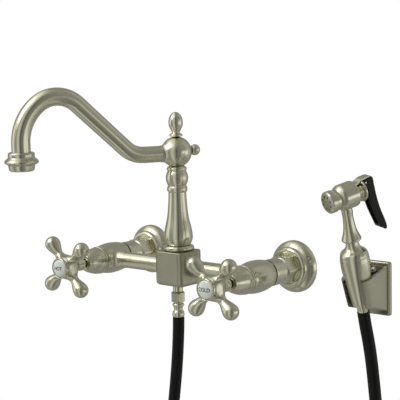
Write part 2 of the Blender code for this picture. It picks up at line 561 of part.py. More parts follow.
def main():
    for leftover in list(bpy.data.objects):
        bpy.data.objects.remove(leftover, do_unlink=True)
    looks = {
        "nickel": metal("brushed_nickel", (0.56, 0.54, 0.46), 0.32),
        "rubber": metal("black_rubber", (0.012, 0.012, 0.011), 0.55, 0.0),
        "black": metal("black_lever", (0.012, 0.012, 0.012), 0.25, 0.0),
        "plastic": metal("grey_plastic", (0.32, 0.32, 0.31), 0.5, 0.0),
        "porcelain": metal("white_porcelain", (0.86, 0.87, 0.84), 0.12, 0.0),
        "ceramic": metal("ceramic", (0.8, 0.78, 0.72), 0.3, 0.0),
        "brass": metal("brass", (0.72, 0.55, 0.26), 0.35),
        "steel": metal("steel", (0.6, 0.6, 0.6), 0.3),
    }
    root = empty("bridge_axis", None, (0, -WALL_TO_AXIS, 0))
    mixing_block(root, looks["nickel"])
    diverter(root, looks["brass"], looks["steel"])
    for side, sign, twist in (("hot", -1, HANDLE_TWIST[0]), ("cold", 1, HANDLE_TWIST[1])):
        bridge_tube(side, sign, root, looks["nickel"])
        handle(side, sign, twist, valve(side, sign, root, looks), looks)
    spout_frame = empty("spout_swivel", root, (0, 0, 0), (0, 0, -SPOUT_TURN))
    column(root, spout_frame, looks)
    hub(spout_frame, looks)
    spout(spout_frame, looks)
    hose_outlet(root, looks)
    cradle_axis = sprayer_holder(root, looks)
    sprayer = empty("sprayer", cradle_axis, (0, 0, 0), (0, 0, -SPRAYER_TURN))
    sprayer_grip(sprayer, looks)
    sprayer_head(sprayer, looks)
    sprayer_lever(sprayer, looks)
    hose(root, looks["rubber"])


main()
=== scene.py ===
"""Looks of the wall-mounted bridge faucet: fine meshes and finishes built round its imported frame.

Places are in metres. Outlines are in millimetres, in the frame of the piece that they shape.
"""

import json
from math import asin, atan2, cos, hypot, pi, radians, sin

import bmesh
import bpy
import numpy as np
from mathutils import Matrix, Vector


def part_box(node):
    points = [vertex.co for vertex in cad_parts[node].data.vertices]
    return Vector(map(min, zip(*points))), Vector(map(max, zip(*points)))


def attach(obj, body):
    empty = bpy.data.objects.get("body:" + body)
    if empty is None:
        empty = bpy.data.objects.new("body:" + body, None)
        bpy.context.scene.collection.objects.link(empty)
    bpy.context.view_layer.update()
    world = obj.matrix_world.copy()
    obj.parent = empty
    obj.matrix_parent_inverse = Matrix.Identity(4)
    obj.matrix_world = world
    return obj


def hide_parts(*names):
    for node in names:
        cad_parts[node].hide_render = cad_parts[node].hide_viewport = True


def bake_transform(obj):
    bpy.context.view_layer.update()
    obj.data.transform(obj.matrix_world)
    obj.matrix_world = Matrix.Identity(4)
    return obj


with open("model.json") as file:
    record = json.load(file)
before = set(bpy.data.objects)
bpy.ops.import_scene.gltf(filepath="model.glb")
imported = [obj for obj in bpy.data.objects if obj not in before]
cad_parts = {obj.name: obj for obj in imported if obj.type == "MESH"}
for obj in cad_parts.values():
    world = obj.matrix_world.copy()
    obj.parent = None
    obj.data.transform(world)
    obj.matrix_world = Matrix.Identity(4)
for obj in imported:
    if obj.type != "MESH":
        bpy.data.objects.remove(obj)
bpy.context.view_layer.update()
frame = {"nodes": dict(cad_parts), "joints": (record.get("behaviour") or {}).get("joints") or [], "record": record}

MM = 0.001
JOINTS = {joint["name"]: joint for joint in frame["joints"]}
SLOTS = {part["node"]: part["material_slot"] for part in frame["record"]["subparts"]}
BODIES = {node: body for body, nodes in frame["record"]["behaviour"]["bodies"].items() for node in nodes}

# Sizes in mm and angles in degrees; heights are from the bridge's axis
WALL_TO_AXIS = 71.1
TUBE_RADIUS = 8.9
BODY_BORE = 9.1
OUTLET_OFFSET = 3.0
HUB_RADIUS, HUB_HEIGHT, CLAMP_HEIGHT = 16.4, 123.2, 124.4
SPOUT_ARM, SPOUT_ARM_HEIGHT, SPOUT_BEND = 36.3, 121.9, 28.0
SPOUT_CROWN, SPOUT_CROWN_RADIUS = (127.0, 155.4), 30.9
SPOUT_ARCH_SPLIT = 38.0
SPOUT_RADII, SPOUT_WALL = (8.5, 9.8), 2.0
SPOUT_END_HEIGHT = 129.0
HANDLE_PLANE = 68.0  # in front of the bridge's axis
HANDLE_TWIST = {"hot": -4.0, "cold": 2.0}
ARM_BALL_CENTRE, ARM_BALL_RADIUS = 31.0, 8.3
PLATE_THICKNESS = 4.3
HOLDER_SCREWS = {"upper": 6.0, "lower": -13.0}
HEAD_HEIGHT = 90.5  # above the origin of the sprayer's frame
SPRAY_HOLES, SPRAY_RING, SPRAY_HOLE_RADIUS = 8, 6.6, 0.95
PIN_HOLE = 1.4
SPRING_TURNS, SPRING_RADIUS, SPRING_WIRE = 2, 5.2, 0.4
SPRING_ENDS = (-9.5, -13.5)  # front and rear, in the spray head's frame
HOSE_RADIUS = 6.3
HOSE_TOP = (-49.1, -33.1)  # its last two points, up the sprayer's own axis

# Segments round a turned piece, a small one and a turn of the spring, and between the hose's own points
FINE_TURN = 72
SMALL_TURN = 48
SPRING_STEPS = 24
HOSE_STEPS = 9

# Camera: its place in metres, its angles in degrees and its lens in mm
CAMERA_PLACE = (0.8900, -1.0914, 0.2520)
CAMERA_AZIMUTH, CAMERA_ELEVATION, CAMERA_ROLL = 40.09, 7.60, -1.287
CAMERA_LENS, CAMERA_SENSOR = 115.85, 36.0

# Light: the plain room's strength, and soft boxes as (strength, azimuths, elevations, softness) in degrees.
# Azimuth 0 is the front right, BOX_AZIMUTH degrees from straight ahead, and it grows to the right.
BOX_AZIMUTH = 40.09
ROOM = 0.31
SOFT_BOXES = [
    (0.65, (-114, -81), (-14, 62), 8),
    (0.24, (-114, -81), (-80, -14), 8),
    (0.60, (-150, -20), (38, 80), 9),
    (0.36, (-42, -16), (-80, 55), 7),
    (0.80, (42, 98), (-14, 6), 6),
    (0.16, (44, 84), (-80, -14), 8),
    (0.15, (84, 128), (-30, 60), 10),
    (-0.24, (-4, 7), (-80, 45), 4),
    (-0.08, (7, 34), (-80, 60), 5),
]


def turn(angle, axis):
    return Matrix.Rotation(angle, 4, axis)


def shift(*place):
    """A translation by millimetres, for a frame in metres."""
    return Matrix.Translation(Vector(place) * MM)


def linked(name, data):
    """A new object in the scene for a mesh, curve, camera or light."""
    made = bpy.data.objects.new(name, data)
    bpy.context.scene.collection.objects.link(made)
    return made


# -------------------- frames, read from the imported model

ROOT = Matrix.Translation(JOINTS["spout_swivel"]["pos_m"])
SIGNS = {"hot": -1, "cold": 1}
VALVES = {side: Matrix.Translation(JOINTS[f"{side}_turn"]["pos_m"]) @ turn(pi / 2, "X") for side in SIGNS}
OUTLET = ROOT.inverted() @ (sum(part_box("aerator_screen"), Vector()) / 2)
SPOUT_REACH = hypot(OUTLET.x, OUTLET.y) / MM
SPOUT = ROOT @ turn(atan2(OUTLET.x, -OUTLET.y), "Z")
LEAN = Vector(JOINTS["sprayer_turn"]["axis"])
CRADLE = Matrix.Translation(JOINTS["sprayer_turn"]["pos_m"]) @ turn(atan2(-LEAN.y, LEAN.z), "X")
LEVER_SPOT = CRADLE.inverted() @ Vector(JOINTS["lever_squeeze"]["pos_m"])
SPRAYER = CRADLE @ turn(-atan2(LEVER_SPOT.x, LEVER_SPOT.y), "Z")
LEVER_PIVOT = (hypot(LEVER_SPOT.x, LEVER_SPOT.y) / MM, LEVER_SPOT.z / MM - HEAD_HEIGHT)
LEVER = SPRAYER @ shift(0, LEVER_PIVOT[0], HEAD_HEIGHT + LEVER_PIVOT[1])
HEAD = SPRAYER @ shift(0, 0, HEAD_HEIGHT) @ turn(pi / 2, "X")


# -------------------- outlines

def spline(points, steps=7):
    """A smooth curve through the points, paced by the distances between them."""
    if len(points) == 2:
        return list(points)
    times = [0.0]
    for a, b in zip(points, points[1:]):
        times.append(times[-1] + (b - a).length)
    slopes = []
    for k in range(len(points)):
        low, high = max(k - 1, 0), min(k + 1, len(points) - 1)
        slopes.append((points[high] - points[low]) / (times[high] - times[low]))
    fine = []
    for k in range(len(points) - 1):
        pace = times[k + 1] - times[k]
        for step in range(steps):
            t = step / steps
            fine.append((2 * t**3 - 3 * t**2 + 1) * points[k] + (t**3 - 2 * t**2 + t) * pace * slopes[k]
                        + (3 * t**2 - 2 * t**3) * points[k + 1] + (t**3 - t**2) * pace * slopes[k + 1])
    return fine + [points[-1]]


def trimmed(line, length):
    """The polyline without its first stretch; over half of the segment where the cut falls is kept."""
    rest = list(line)
    while len(rest) > 2 and (rest[1] - rest[0]).length <= length:
        length -= (rest[1] - rest[0]).length
        rest.pop(0)
    step = rest[1] - rest[0]
    rest[0] = rest[0] + step * min(length / step.length, 0.45)
    return rest


def outline(points):
    """A fine line, smooth through plain points. A third value makes a point a corner with that fillet."""
    stretches, fillets = [[]], []
    for point in points:
        stretches[-1].append(Vector(point[:2]))
        if len(point) == 3 and point is not points[0] and point is not points[-1]:
            fillets.append(point[2])
            stretches.append([Vector(point[:2])])
    lines = [spline(stretch) for stretch in stretches]
    whole = lines[0]
    for fillet, following in zip(fillets, lines[1:]):
        corner = following[0]
        if fillet:
            whole = trimmed(whole[::-1], fillet)[::-1]
            following = trimmed(following, fillet)
            start, end = whole[-1], following[0]
            for t in (0.2, 0.4, 0.6, 0.8):
                whole.append((1 - t)**2 * start + 2 * t * (1 - t) * corner + t**2 * end)
            whole.extend(following)
        else:
            whole.extend(following[1:])
    return whole


# -------------------- shapes, as bmeshes in mm

def mesh_from(shape, name):
    """The bmesh as a mesh. The bmesh is freed."""
    mesh = bpy.data.meshes.new(name)
    shape.to_mesh(mesh)
    shape.free()
    return mesh


def as_shape(mesh):
    shape = bmesh.new()
    shape.from_mesh(mesh)
    return shape


def lathe(points, segments=FINE_TURN):
    """Turned about Z from a (radius, height) outline that ends on the axis twice or closes into a ring."""
    line = outline(points)
    if line[0].x and (line[0] - line[-1]).length < 1e-6:
        line.pop()
    shape = bmesh.new()
    rings = []
    for radius, height in line:
        if radius < 1e-6:
            rings.append([shape.verts.new((0, 0, height))])
            continue
        angles = [2 * pi * k / segments for k in range(segments)]
        rings.append([shape.verts.new((radius * cos(a), radius * sin(a), height)) for a in angles])
    pairs = list(zip(rings, rings[1:]))
    if len(rings[0]) > 1 and len(rings[-1]) > 1:
        pairs.append((rings[-1], rings[0]))
    for lower, upper in pairs:
        for k in range(segments):
            after = (k + 1) % segments
            if len(lower) == 1:
                shape.faces.new((lower[0], upper[after], upper[k]))
            elif len(upper) == 1:
                shape.faces.new((lower[k], lower[after], upper[0]))
            else:
                shape.faces.new((lower[k], lower[after], upper[after], upper[k]))
    bmesh.ops.recalc_face_normals(shape, faces=shape.faces)
    return shape


def rod(radius, start, end, segments=SMALL_TURN):
    return lathe([(0, start), (radius, start, 0), (radius, end, 0), (0, end)], segments)


def box(size, centre=(0, 0, 0)):
    shape = bmesh.new()
    bmesh.ops.create_cube(shape, size=1.0)
    bmesh.ops.scale(shape, vec=size, verts=shape.verts)
    bmesh.ops.translate(shape, vec=centre, verts=shape.verts)
    return shape


def moved(shape, matrix):
    bmesh.ops.transform(shape, matrix=matrix, verts=shape.verts)
    return shape


def tube(path, radii, sides, wall=0.0):
    """Swept along a path; with a wall it is open through, without one it is solid."""
    shape = bmesh.new()
    across = None
    outer, inner = [], []
    for k, (point, radius) in enumerate(zip(path, radii)):
        along = (path[min(k + 1, len(path) - 1)] - path[max(k - 1, 0)]).normalized()
        across = along.orthogonal() if across is None else across
        across = (across - along * across.dot(along)).normalized()
        beside = along.cross(across)
        for rings, reach in ((outer, radius), (inner, radius - wall)):
            angles = [2 * pi * side / sides for side in range(sides)]
            rings.append([point + reach * (across * cos(a) + beside * sin(a)) for a in angles])
    if not wall:
        inner = []
    rings = [[shape.verts.new(place) for place in ring] for ring in outer + inner[::-1]]
    pairs = list(zip(rings, rings[1:]))
    if wall:
        pairs.append((rings[-1], rings[0]))
    else:
        shape.faces.new(rings[0][::-1])
        shape.faces.new(rings[-1])
    around = shape.loops.layers.uv.new("around")
    for along, (lower, upper) in enumerate(pairs):
        for k in range(sides):
            after = (k + 1) % sides
            face = shape.faces.new((lower[k], lower[after], upper[after], upper[k]))
            corners = ((k, along), (k + 1, along), (k + 1, along + 1), (k, along + 1))
            for loop, (u, v) in zip(face.loops, corners):
                loop[around].uv = (u / sides, v / len(pairs))
    bmesh.ops.recalc_face_normals(shape, faces=shape.faces)
    return shape


def extruded(line, half_width):
    """A (y, z) outline extruded along X, both ways."""
    shape = bmesh.new()
    near = [shape.verts.new((-half_width, y, z)) for y, z in line]
    far = [shape.verts.new((half_width, y, z)) for y, z in line]
    shape.faces.new(near)
    shape.faces.new(far[::-1])
    for k in range(len(line)):
        after = (k + 1) % len(line)
        shape.faces.new((near[k], far[k], far[after], near[after]))
    bmesh.ops.recalc_face_normals(shape, faces=shape.faces)
    return shape


def span(edge, axis):
    """How far an edge runs along x, y or z."""
    return abs(getattr(edge.verts[0].co, axis) - getattr(edge.verts[1].co, axis))


def rounded_edges(shape, chosen, offset, segments=5):
    edges = [edge for edge in shape.edges if chosen(edge)]
    bmesh.ops.bevel(shape, geom=edges, offset=offset, segments=segments, affect="EDGES", profile=0.5)
    return shape


def helper(shape):
    """A throwaway object that holds a bmesh."""
    return linked("helper", mesh_from(shape, "helper"))


def evaluated(made):
    """The object's mesh with its modifiers, as a bmesh; the object is removed."""
    bpy.context.view_layer.update()
    shape = bmesh.new()
    shape.from_object(made, bpy.context.evaluated_depsgraph_get())
    bpy.data.objects.remove(made)
    return shape


def combined(shape, operation, other):
    first, second = helper(shape), helper(other)
    modifier = first.modifiers.new("combine", "BOOLEAN")
    modifier.operation = operation
    modifier.object = second
    result = evaluated(first)
    bpy.data.objects.remove(second)
    return result


def carved(shape, *cutters):
    for cutter in cutters:
        shape = combined(shape, "DIFFERENCE", cutter)
    return shape


def line_distance(spots, line):
    """Signed distance in mm from (radius, height) spots to a turned outline: negative inside."""
    nearest = np.full(len(spots), np.inf)
    inside = np.zeros(len(spots), bool)
    for start, end in zip(line, line[1:]):
        a, b = np.array(start), np.array(end)
        step = b - a
        t = np.clip((spots - a) @ step / max(step @ step, 1e-12), 0, 1)
        nearest = np.minimum(nearest, np.linalg.norm(spots - a - t[:, None] * step, axis=1))
        if step[1]:
            spans = (a[1] > spots[:, 1]) != (b[1] > spots[:, 1])
            inside ^= spans & (spots[:, 0] < a[0] + step[0] * (spots[:, 1] - a[1]) / step[1])
    return np.where(inside, -nearest, nearest)


def voxelised(shape, voxel):
    """The shape's outer skin as an even mesh of small squares."""
    made = helper(shape)
    modifier = made.modifiers.new("voxels", "REMESH")
    modifier.mode = "VOXEL"
    modifier.voxel_size = voxel
    return mesh_from(evaluated(made), "even")


def relaxed(mesh):
    """Each vertex's place, moved half way to the middle of its neighbours."""
    count = len(mesh.vertices)
    ends, places = np.zeros(len(mesh.edges) * 2, np.int32), np.zeros(count * 3)
    mesh.edges.foreach_get("vertices", ends)
    mesh.vertices.foreach_get("co", places)
    places = places.reshape(-1, 3)
    start, end = ends.reshape(-1, 2).T
    around = np.zeros_like(places)
    np.add.at(around, start, places[end])
    np.add.at(around, end, places[start])
    return 0.5 * places + 0.5 * around / np.bincount(ends, minlength=count)[:, None]


def settle(mesh, places):
    mesh.vertices.foreach_set("co", places.ravel())
    mesh.update()


def softened(shape, voxel, rounds):
    """The shape with every edge rounded off a little."""
    mesh = voxelised(shape, voxel)
    for _ in range(rounds):
        settle(mesh, relaxed(mesh))
    return as_shape(mesh)


def fused(parts, blend, voxel, rounds=6):
    """Turned solids, as (points, matrix) pairs, that flow into each other in fillets of that size."""
    whole = bmesh.new()
    solids = []
    for points, matrix in parts:
        whole.from_mesh(mesh_from(moved(lathe(points, SMALL_TURN), matrix), "part"))
        solids.append((outline(points), np.array(matrix.inverted())))
    mesh = voxelised(whole, voxel)
    normals = np.zeros(len(mesh.vertices) * 3)
    for _ in range(rounds):
        places = relaxed(mesh)
        settle(mesh, places)
        mesh.vertices.foreach_get("normal", normals)
        gap = None
        for line, inverse in solids:
            local = places @ inverse[:3, :3].T + inverse[:3, 3]
            flat = np.column_stack((np.hypot(local[:, 0], local[:, 1]), local[:, 2]))
            this = line_distance(flat, line)
            if gap is None:
                gap = this
            else:
                overlap = np.maximum(blend - np.abs(gap - this), 0)
                gap = np.minimum(gap, this) - overlap**2 / (4 * blend)
        settle(mesh, places - normals.reshape(-1, 3) * np.clip(gap, -voxel, voxel)[:, None])
    return as_shape(mesh)


# -------------------- finishes

PATCHES = 45.0  # noise scale of the soft patches of tone
TURNED, DRAWN = "RADIAL", "UV_MAP"  # brushed round the Z axis, or round a swept tube by its UV map


def node(tree, kind, **settings):
    made = tree.nodes.new(kind)
    for name, value in settings.items():
        if name in made.inputs:
            made.inputs[name].default_value = value
        else:
            setattr(made, name, value)
    return made


def noise(tree, coordinates, scale, low=0.0, high=1.0):
    """A noise value stretched between low and high."""
    source = node(tree, "ShaderNodeTexNoise", Scale=scale, Detail=3.0)
    tree.links.new(coordinates, source.inputs["Vector"])
    spread = node(tree, "ShaderNodeMapRange")
    for name, value in (("From Min", 0.3), ("From Max", 0.7), ("To Min", low), ("To Max", high)):
        spread.inputs[name].default_value = value
    tree.links.new(source.outputs["Fac"], spread.inputs["Value"])
    return spread.outputs["Result"]


def ring_coordinates(tree, coordinates):
    """Distance from the Z axis and height along it, so that a noise runs round the piece in rings."""
    parts = node(tree, "ShaderNodeSeparateXYZ")
    tree.links.new(coordinates, parts.inputs[0])
    flat = node(tree, "ShaderNodeCombineXYZ")
    tree.links.new(parts.outputs["X"], flat.inputs["X"])
    tree.links.new(parts.outputs["Y"], flat.inputs["Y"])
    radius = node(tree, "ShaderNodeVectorMath", operation="LENGTH")
    tree.links.new(flat.outputs[0], radius.inputs[0])
    rings = node(tree, "ShaderNodeCombineXYZ")
    tree.links.new(radius.outputs["Value"], rings.inputs["X"])
    tree.links.new(parts.outputs["Z"], rings.inputs["Z"])
    return rings.outputs[0]


def stretch_highlights(tree, shader, direction):
    """Highlights that lie across a brushed grain, which runs round the Z axis or round a swept tube."""
    tangent = node(tree, "ShaderNodeTangent", direction_type=direction, axis="Z")
    tree.links.new(tangent.outputs[0], shader.inputs["Tangent"])
    shader.inputs["Anisotropic"].default_value = 0.75
    shader.inputs["Anisotropic Rotation"].default_value = 0.25


def finish(name, tones, roughness, metallic=0.0, grain=400.0, depth=2e-5, brushed=None, **extras):
    """Two tones in soft patches, uneven roughness and a fine grain of that depth in metres."""
    made = bpy.data.materials.new(name)
    made.use_nodes = True
    tree = made.node_tree
    shader = tree.nodes["Principled BSDF"]
    shader.inputs["Metallic"].default_value = metallic
    for socket, value in extras.items():
        shader.inputs[socket.replace("_", " ")].default_value = value
    coordinates = node(tree, "ShaderNodeTexCoord").outputs["Object"]
    blend = node(tree, "ShaderNodeMix", data_type="RGBA")
    for socket, tone in zip(blend.inputs[6:8], tones):  # its two colours
        socket.default_value = (*tone, 1)
    tree.links.new(noise(tree, coordinates, PATCHES), blend.inputs["Factor"])
    tree.links.new(blend.outputs[2], shader.inputs["Base Color"])
    if brushed:
        stretch_highlights(tree, shader, brushed)
    fine = ring_coordinates(tree, coordinates) if brushed == TURNED else coordinates
    uneven = noise(tree, fine, grain / 3, roughness[0], roughness[1])
    tree.links.new(uneven, shader.inputs["Roughness"])
    bump = node(tree, "ShaderNodeBump", Strength=0.4, Distance=depth)
    tree.links.new(noise(tree, fine, grain), bump.inputs["Height"])
    tree.links.new(bump.outputs["Normal"], shader.inputs["Normal"])
    return made


NICKEL = ((0.70, 0.685, 0.535), (0.665, 0.65, 0.50))
FINISHES = {
    "turned_nickel": dict(tones=NICKEL, roughness=(0.19, 0.25), metallic=1.0, grain=2600, depth=1.2e-6,
                          brushed=TURNED),
    "cast_nickel": dict(tones=NICKEL, roughness=(0.22, 0.28), metallic=1.0, grain=1600, depth=1.5e-6),
    "drawn_nickel": dict(tones=NICKEL, roughness=(0.19, 0.25), metallic=1.0, grain=2600, depth=1e-6,
                         brushed=DRAWN),
    "satin_nickel": dict(tones=((0.47, 0.46, 0.355), (0.445, 0.435, 0.335)), roughness=(0.34, 0.42),
                         metallic=1.0, grain=1600, depth=1.5e-6),
    "bright_nickel": dict(tones=NICKEL, roughness=(0.11, 0.15), metallic=1.0, grain=2600, depth=1e-6,
                          brushed=TURNED),
    "steel": dict(tones=((0.62, 0.62, 0.60), (0.55, 0.55, 0.53)), roughness=(0.22, 0.3), metallic=1.0,
                  grain=1500, depth=3e-6),
    "brass": dict(tones=((0.75, 0.56, 0.27), (0.66, 0.48, 0.22)), roughness=(0.25, 0.36), metallic=1.0,
                  grain=1500, brushed=TURNED),
    "ceramic": dict(tones=((0.84, 0.82, 0.76), (0.78, 0.76, 0.70)), roughness=(0.22, 0.3), grain=900),
    "porcelain": dict(tones=((0.90, 0.95, 0.89), (0.87, 0.92, 0.86)), roughness=(0.06, 0.1), grain=300,
                      depth=3e-6, Coat_Weight=0.6, Coat_Roughness=0.05),
    "enamel": dict(tones=((0.020, 0.024, 0.026), (0.030, 0.035, 0.037)), roughness=(0.3, 0.4), grain=900),
    "seal": dict(tones=((0.018, 0.018, 0.017), (0.028, 0.028, 0.026)), roughness=(0.5, 0.62), grain=1200),
    "hose": dict(tones=((0.004, 0.005, 0.004), (0.007, 0.008, 0.006)), roughness=(0.40, 0.50), grain=1400,
                 depth=3e-6, Specular_IOR_Level=0.2),
    "lever": dict(tones=((0.004, 0.0045, 0.004), (0.006, 0.007, 0.006)), roughness=(0.16, 0.22), grain=900,
                  depth=4e-6, Specular_IOR_Level=0.3),
    "screen": dict(tones=((0.50, 0.50, 0.48), (0.42, 0.42, 0.40)), roughness=(0.35, 0.45), grain=900),
}
LOOKS = {name: finish(name, **settings) for name, settings in FINISHES.items()}


# -------------------- placing

SHARP = radians(32)  # edges that bend more are drawn sharp


def place(name, shape, look, matrix, *nodes, body=None, slot=None, bends=False):
    """Links a bmesh in mm as a piece that stands for the CAD nodes. One that bends rides on no one body."""
    bmesh.ops.scale(shape, vec=(MM, MM, MM), verts=shape.verts)
    mesh = mesh_from(shape, name)
    mesh.shade_smooth()
    mesh.set_sharp_from_angle(angle=SHARP)
    mesh.materials.append(LOOKS[look])
    piece = linked(name, mesh)
    piece.matrix_world = matrix
    even = piece.modifiers.new("even_normals", "WEIGHTED_NORMAL")
    even.keep_sharp = True
    if not bends:
        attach(piece, body or BODIES[nodes[0]])
    if nodes:
        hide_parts(*nodes)
    return piece


def turned_piece(name, points, matrix, look="turned_nickel", segments=FINE_TURN):
    """Turns an outline into the piece that stands for the CAD node of that name."""
    place(f"{name}_fine", lathe(points, segments), look, matrix, name)


# -------------------- camera and hose

def camera():
    """Looks at the faucet from the front right, a little from above and a little rolled."""
    azimuth, elevation, roll = radians(CAMERA_AZIMUTH), radians(CAMERA_ELEVATION), radians(CAMERA_ROLL)
    data = bpy.data.cameras.new("camera")
    data.lens = CAMERA_LENS
    data.sensor_width = CAMERA_SENSOR
    data.clip_end = 60.0
    made = linked("camera", data)
    aim = turn(azimuth, "Z") @ turn(pi / 2 - elevation, "X") @ turn(roll, "Z")
    made.matrix_world = Matrix.Translation(CAMERA_PLACE) @ aim
    bpy.context.scene.camera = made


def through(route, steps):
    """Points of a Catmull-Rom curve through the route's own points."""
    knots = [2 * route[0] - route[1], *route, 2 * route[-1] - route[-2]]
    points = []
    for a, b, c, d in zip(knots, knots[1:], knots[2:], knots[3:]):
        for k in range(steps):
            t = k / steps
            points.append(0.5 * (2 * b + (c - a) * t + (2 * a - 5 * b + 4 * c - d) * t**2
                                 + (3 * b - a - 3 * c + d) * t**3))
    return points + [route[-1]]


def hose():
    """The free hose, from the faucet's ferrule down, round a wide hanging loop and up to the sprayer."""
    route = [(0, -3, -54.4), (-0.4, -3, -66), (-2, -3, -88), (-4.8, -3, -114), (-9.6, -3, -148),
             (-18, -1, -190), (-27, 3, -236), (-31, 8, -284), (-26, 13, -332), (-8, 18, -376),
             (26, 22, -410), (70, 26, -428), (116, 30, -428), (160, 34, -408), (194, 38, -372),
             (214, 42, -326), (222, 46, -276), (222, 50, -224), (217, 53, -174), (211, 55.4, -132),
             (207.8, 56, -106), (205.5, 55.4, -84), (203.5, 53.4, -64)]
    route = [Vector(point) for point in route]
    sprayer = ROOT.inverted() @ CRADLE
    route += [(sprayer @ Vector((0, 0, height * MM))) / MM for height in HOSE_TOP]
    fine = through(route, HOSE_STEPS)
    skin = tube(fine, [HOSE_RADIUS] * len(fine), sides=32)
    piece = place("hose_fine", skin, "hose", ROOT, "hose", bends=True)
    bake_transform(piece)


# -------------------- block, bridge and valves

def mixing_block():
    """The cast centre block, with every edge softened."""
    low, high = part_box("mixing_block")
    size = (high - low) / MM
    centre = ROOT.inverted() @ ((high + low) / 2) / MM
    bottom = centre.z - size.z / 2
    top = centre.z + size.z / 2
    shape = rounded_edges(box(size, centre), lambda edge: span(edge, "z") > 1, 6.5, 9)
    rounded_edges(shape, lambda edge: max(v.co.z for v in edge.verts) < bottom + 0.1, 4.2, 7)
    rounded_edges(shape, lambda edge: min(v.co.z for v in edge.verts) > top - 0.1, 0.9, 4)
    column_socket = rod(8.5, 6, 30)
    diverter_bore = rod(6.2, -10, 10)
    outlet = moved(rod(5.6, -30, -8), Matrix.Translation((0, -OUTLET_OFFSET, 0)))
    sides = [moved(rod(TUBE_RADIUS + 0.2, 13.7, 40), turn(angle, "Y")) for angle in (pi / 2, -pi / 2)]
    shape = carved(shape, column_socket, diverter_bore, outlet, *sides)
    place("mixing_block_fine", shape, "satin_nickel", ROOT, "mixing_block")


def bridge_tube(side):
    """A plain tube from the block to the valve body."""
    start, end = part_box(f"bridge_tube_{side}")
    reach = sorted((abs(start.x) / MM, abs(end.x) / MM))
    ring = [(7, reach[0]), (TUBE_RADIUS, reach[0], 0.3), (TUBE_RADIUS, reach[1], 0.3), (7, reach[1], 0),
            (7, reach[0])]
    turned_piece(f"bridge_tube_{side}", ring, ROOT @ turn(SIGNS[side] * pi / 2, "Y"))


def valve_body(side):
    """The bulging body with the brazed collar that takes the bridge tube."""
    across = turn(-SIGNS[side] * pi / 2, "Y")
    bulge = [(0, 17.6), (14.9, 17.6, 0.3), (14.9, 16.8, 0.3), (14.4, 16.4, 0.2), (15.4, 13), (16.5, 6),
             (16.8, 0), (16.5, -7), (15.6, -13.5), (14.5, -18.3, 0.5), (0, -18.3)]
    collar = [(0, 2), (9.7, 2, 0), (9.4, 18), (9.1, 26, 0.2), (0, 26)]
    shape = fused([(bulge, Matrix.Identity(4)), (collar, across)], blend=6.0, voxel=0.62)
    front_bore = rod(BODY_BORE, -1.4, 30)
    rear_bore = rod(6, -30, 5)
    side_bore = moved(rod(TUBE_RADIUS + 0.1, 5, 40), across)
    shape = carved(shape, front_bore, rear_bore, side_bore)
    place(f"valve_body_{side}_fine", shape, "turned_nickel", VALVES[side], f"valve_body_{side}")


def valve_trim(side):
    """Bonnet, gasket, inlet tail, union nut and wall flange, all on the valve's axis."""
    matrix = VALVES[side]
    bonnet = [(BODY_BORE, 18), (14.4, 18, 0.2), (15.1, 18.6, 0.5), (15.1, 20.5, 0.5), (14.5, 21.1, 0.2),
              (14.4, 21.9, 0.2), (14.6, 23.6), (14.1, 27), (12.6, 32), (10.9, 36.4), (9.3, 39.6),
              (8.6, 41, 0.5), (5, 41, 0), (5, 31.6, 0), (BODY_BORE, 31.6, 0), (BODY_BORE, 18)]
    turned_piece(f"bonnet_{side}", bonnet, matrix)
    gasket = [(8.2, -20.45), (14.2, -20.45, 0.3), (14.2, -18.35, 0.3), (8.2, -18.35, 0), (8.2, -20.45)]
    turned_piece(f"body_gasket_{side}", gasket, matrix, look="seal")
    tail = [(7.5, -20.5), (13.9, -20.5, 0.4), (14.1, -24), (14, -38, 0.4), (10.5, -38, 0.4),
            (10.5, -WALL_TO_AXIS, 0), (7.5, -WALL_TO_AXIS, 0), (7.5, -20.5)]
    turned_piece(f"inlet_tail_{side}", tail, matrix)
    crown = [(10.8, -38.3), (13.0, -38.3, 0.4), (14.6, -39.6), (15.5, -41.4), (15.8, -44), (15.8, -55.2),
             (15.4, -56.6), (14.6, -57.2, 0.3), (10.8, -57.2, 0), (10.8, -38.3)]
    hexagon = rounded_edges(rod(15.8, -70, -30, 6), lambda edge: span(edge, "z") > 30, 1.6)
    nut = combined(lathe(crown), "INTERSECT", hexagon)
    place(f"union_nut_{side}_fine", nut, "cast_nickel", matrix, f"union_nut_{side}")
    flange = [(10.9, -WALL_TO_AXIS), (27.8, -WALL_TO_AXIS, 0.3), (27.8, -69.4, 0.6), (27.3, -66.4),
              (25.4, -63.2), (23.4, -61.4), (22.0, -60.4, 0.5), (21.8, -58.8), (20.9, -57), (19.2, -56.0),
              (17.6, -56.0, 0.5), (16.7, -56.5), (16.3, -57.4, 0.3), (10.9, -57.4, 0),
              (10.9, -WALL_TO_AXIS)]
    turned_piece(f"wall_flange_{side}", flange, matrix, segments=96)


